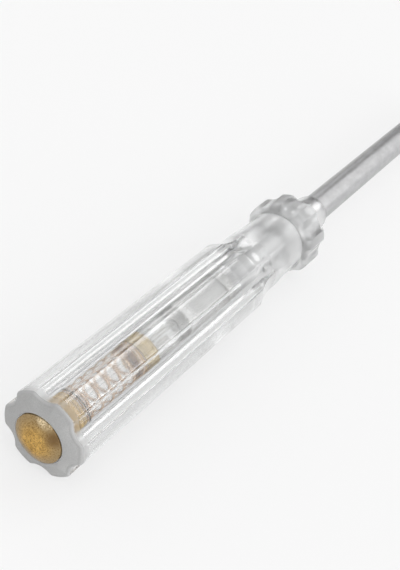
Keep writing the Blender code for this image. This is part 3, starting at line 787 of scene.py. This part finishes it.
# The two electrodes are short nickel rods side by side in the neon, each butt-welded to its wire. The
# rear wire reaches the ferrule's floor, and the front wire reaches the resistor's cap.
ELECTRODE_RADIUS = 0.00035
ELECTRODE_SIDE = 0.00055
ELECTRODE_REAR = (0.02075, 0.02425)
ELECTRODE_FRONT = (0.02175, 0.02525)
LEAD_RADIUS = 0.00015
LEAD_REAR = (0.01855, 0.02065)
LEAD_FRONT = (0.02535, 0.0276)
ROD_SIDES = 32

electrode_nickel = finish("electrode nickel", Metallic=1.0)
sputter = placed(electrode_nickel, GRAIN, Repeats=(4000, 4000, 4000), Detail=4.0, Low=0.35, High=0.65)
feed(electrode_nickel, "Base Color", sputter, (0.52, 0.50, 0.47), (0.74, 0.72, 0.69))
feed(electrode_nickel, "Roughness", sputter, 0.55, 0.38)


def rod(name, span, radius, side, node):
    """A round rod beside the tool's axis, in the plane across the facing direction."""
    form = bmesh.new()
    rounding = radius * 0.35
    middle = radius * 0.2
    turned(form, softened([(span[0], middle, 0), (span[0], radius, rounding), (span[1], radius, rounding),
                           (span[1], middle, 0)]), ROD_SIDES)
    bmesh.ops.translate(form, vec=around(0, side, FACING + math.pi / 2) - around(0, 0, 0), verts=form.verts)
    thing = piece(name, form, [electrode_nickel], smooth=50)
    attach(thing, "lamp_cartridge")
    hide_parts(node)


for name, span, radius, side, node in (
    ("electrode_on_bead", ELECTRODE_REAR, ELECTRODE_RADIUS, ELECTRODE_SIDE, "lamp_electrode_rear"),
    ("electrode_on_dome", ELECTRODE_FRONT, ELECTRODE_RADIUS, -ELECTRODE_SIDE, "lamp_electrode_front"),
    ("wire_to_ferrule", LEAD_REAR, LEAD_RADIUS, ELECTRODE_SIDE, "lamp_lead_rear"),
    ("wire_to_resistor", LEAD_FRONT, LEAD_RADIUS, -ELECTRODE_SIDE, "lamp_lead_front"),
):
    rod(name, span, radius, side, node)

# The resistor is a pale ceramic rod with a carbon film inside its glaze. It limits the current to what
# a finger can bear, and a tinned steel cup is pressed over each of its ends.
RESISTOR = (0.0277, 0.0401)
RESISTOR_RADIUS = 0.0017
CUP_RADIUS = 0.0020
CUP_LENGTH = 0.0021
CUP_WALL = 0.0003
CUP_GAP = 0.0001
CUP_LIP = 0.00008
CUP_INNER_CORNER = 0.00005
END_HOLE = 0.0003
ROD_CORNER = 0.0002
CUP_LIGHT_FADES = 0.031
CUP_LIGHT_END = 0.036

ceramic = finish("glazed ceramic")
glaze = placed(ceramic, GRAIN, Repeats=(1500, 1500, 1500), Detail=4.0, Low=0.35, High=0.7)
feed(ceramic, "Base Color", glaze, (0.70, 0.70, 0.69), (0.78, 0.78, 0.77))
feed(ceramic, "Roughness", glaze, 0.45, 0.28)
tinned = finish("tinned cup", Metallic=1.0)
tin_bloom = placed(tinned, GRAIN, Repeats=(2200, 2200, 2200), Detail=4.0, Low=0.35, High=0.65)
dull_tin = feed(tinned, "Base Color", tin_bloom, (0.38, 0.38, 0.37), (0.55, 0.55, 0.54))
# The rear cup is painted lighter than the front one: painted light, which brightens it.
rear_cup_painted_light = by_station(tinned, CUP_LIGHT_FADES, CUP_LIGHT_END, 1.0, 0.0)
feed(tinned, "Base Color", rear_cup_painted_light, dull_tin, (0.66, 0.66, 0.65))
feed(tinned, "Roughness", tin_bloom, 0.42, 0.22)

form = bmesh.new()
inset = CUP_WALL + CUP_GAP
turned(form, softened([
    (RESISTOR[0] + inset, END_HOLE, 0), (RESISTOR[0] + inset, RESISTOR_RADIUS, ROD_CORNER),
    (RESISTOR[1] - inset, RESISTOR_RADIUS, ROD_CORNER), (RESISTOR[1] - inset, END_HOLE, 0),
]))
resistor = piece("resistor_rod", form, [ceramic], smooth=50)
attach(resistor, "lamp_cartridge")
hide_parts("resistor_body")


def cup(name, closed_end, way, node):
    """A pressed cup over one end of the resistor, with its mouth towards way."""
    form = bmesh.new()
    inner = RESISTOR_RADIUS + CUP_GAP
    floor, mouth = closed_end + way * CUP_WALL, closed_end + way * CUP_LENGTH
    turned(form, softened([
        (closed_end, END_HOLE, 0), (closed_end, CUP_RADIUS, CUP_WALL), (mouth, CUP_RADIUS, CUP_LIP),
        (mouth, inner, CUP_LIP), (floor, inner, CUP_INNER_CORNER), (floor, END_HOLE, 0),
    ]))
    thing = piece(name, form, [tinned], smooth=50)
    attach(thing, "lamp_cartridge")
    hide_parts(node)


cup("resistor_cup_rear", RESISTOR[0], 1, "resistor_cap_rear")
cup("resistor_cup_front", RESISTOR[1], -1, "resistor_cap_front")

# The stage is a plain pale floor under a broad soft sky, a little brighter at its sides, with a few soft
# patches that brighten or dim it. Over the tool, along its facing lobe, hang a broad panel and a slim
# brighter one on each side of it. The camera itself sees the sky as an even backdrop.
FLOOR_SIZE = 12.0
FLOOR_SEEN_PLAIN = 0.75
FLOOR_LEVEL = 0.92
BACKDROP_LEVEL = 0.955
SKY_SIDES_LEVEL = 0.9
SKY_TOP_LEVEL = 0.75
SKY_TOP_START = 0.75
PANEL_TILT = math.radians(25.2)
PANEL_REAR_EDGE = (0.50, 0.55)
PANEL_FRONT_EDGE = (0.75, 0.78)
PANELS_START = (0.1, 0.2)
MIDDLE_PANEL_EDGE = (0.22, 0.26)
MIDDLE_PANEL_STRENGTH = 1.5
SIDE_PANEL_INNER_EDGE = (0.25, 0.28)
SIDE_PANEL_OUTER_EDGE = (0.38, 0.41)
SIDE_PANEL_STRENGTH = 4.5

floor_paper = finish("floor paper", Base_Color=(0.90, 0.90, 0.90, 1), Roughness=0.9)
nodes, links = floor_paper.node_tree.nodes, floor_paper.node_tree.links
seen = nodes.new("ShaderNodeLightPath")
plainly = worked_out(floor_paper, "MAXIMUM", seen.outputs["Is Camera Ray"], seen.outputs["Is Glossy Ray"])
plainly = worked_out(floor_paper, "MAXIMUM", plainly, seen.outputs["Is Transmission Ray"])
plain = nodes.new("ShaderNodeEmission")
plain.inputs["Color"].default_value = (FLOOR_LEVEL, FLOOR_LEVEL, FLOOR_LEVEL, 1)
mixed = nodes.new("ShaderNodeMixShader")
links.new(worked_out(floor_paper, "MULTIPLY", plainly, FLOOR_SEEN_PLAIN), mixed.inputs["Fac"])
links.new(nodes["Principled BSDF"].outputs["BSDF"], mixed.inputs[1])
links.new(plain.outputs["Emission"], mixed.inputs[2])
links.new(mixed.outputs["Shader"], nodes["Material Output"].inputs["Surface"])
form = bmesh.new()
bmesh.ops.create_grid(form, x_segments=1, y_segments=1, size=FLOOR_SIZE / 2)
floor = piece("floor", form, [floor_paper])

sky = bpy.data.worlds.new("studio")
bpy.context.scene.world = sky
sky.use_nodes = True
upward = along(sky, (0, 0, 1), "Generated")
level = ramped(sky, upward, 0.0, SKY_TOP_START, SKY_SIDES_LEVEL, SKY_TOP_LEVEL)
for direction, edge, core, strength in (
    ((-0.15, -0.94, 0.30), 0.80, 0.97, 1.9),
    ((0.20, 0.80, 0.55), 0.80, 0.97, 0.2),
    ((0.98, 0.0, 0.20), 0.85, 0.97, -0.5),
    ((0.86, 0.46, 0.20), 0.90, 0.97, -0.75),
    ((0.55, 0.76, 0.35), 0.90, 0.97, 0.4),
    ((0.96, -0.10, 0.26), 0.987, 0.996, 2.0),
    ((-0.26, -0.37, 0.89), 0.98, 0.992, 3.0),
    ((0.75, 0.465, 0.469), 0.992, 0.998, 3.5),
):
    patch = ramped(sky, along(sky, direction, "Generated"), edge, core, 0.0, strength)
    level = worked_out(sky, "ADD", level, patch)

lengthwise = along(sky, (1, 0, 0), "Generated")
across = along(sky, (0, math.cos(PANEL_TILT), math.sin(PANEL_TILT)), "Generated")
across = worked_out(sky, "ABSOLUTE", across)
above = along(sky, (0, -math.sin(PANEL_TILT), math.cos(PANEL_TILT)), "Generated")
over = worked_out(sky, "MULTIPLY", ramped(sky, lengthwise, *PANEL_REAR_EDGE),
                  ramped(sky, lengthwise, *PANEL_FRONT_EDGE, 1.0, 0.0))
over = worked_out(sky, "MULTIPLY", over, ramped(sky, above, *PANELS_START))
middle_panel = ramped(sky, across, *MIDDLE_PANEL_EDGE, MIDDLE_PANEL_STRENGTH, 0.0)
side_panels = worked_out(sky, "MULTIPLY", ramped(sky, across, *SIDE_PANEL_INNER_EDGE),
                         ramped(sky, across, *SIDE_PANEL_OUTER_EDGE, SIDE_PANEL_STRENGTH, 0.0))
panels = worked_out(sky, "ADD", middle_panel, side_panels)
level = worked_out(sky, "ADD", level, worked_out(sky, "MULTIPLY", over, panels))
in_view = sky.node_tree.nodes.new("ShaderNodeLightPath").outputs["Is Camera Ray"]
level = worked_out(sky, "MULTIPLY", level, worked_out(sky, "SUBTRACT", 1.0, in_view))
level = worked_out(sky, "ADD", level, worked_out(sky, "MULTIPLY", in_view, BACKDROP_LEVEL))
background = sky.node_tree.nodes["Background"]
background.inputs["Color"].default_value = (1, 1, 1, 1)
sky.node_tree.links.new(level, background.inputs["Strength"])

# The camera looks down along the tool from beside its butt, as the photograph was taken. Its place and
# its lens were fitted to the handle's and the blade's edges, which run to one vanishing point.
CAMERA_FROM_BUTT = (-0.0702649, -0.0418709, 0.0888684)
CAMERA_TURN = (51.8231, -13.7351, -57.4238)
FOCAL_LENGTH = 61.895
SENSOR_WIDTH = 36
NEAREST_SEEN = 0.005
lens = bpy.data.cameras.new("camera")
lens.lens = FOCAL_LENGTH
lens.sensor_width = SENSOR_WIDTH
lens.clip_start = NEAREST_SEEN
camera = bpy.data.objects.new("camera", lens)
camera.location = around(0, 0, 0) + Vector(CAMERA_FROM_BUTT)
camera.rotation_euler = Euler([math.radians(turn) for turn in CAMERA_TURN])
bpy.context.scene.collection.objects.link(camera)
bpy.context.scene.camera = camera
bpy.context.scene.view_settings.view_transform = "Standard"
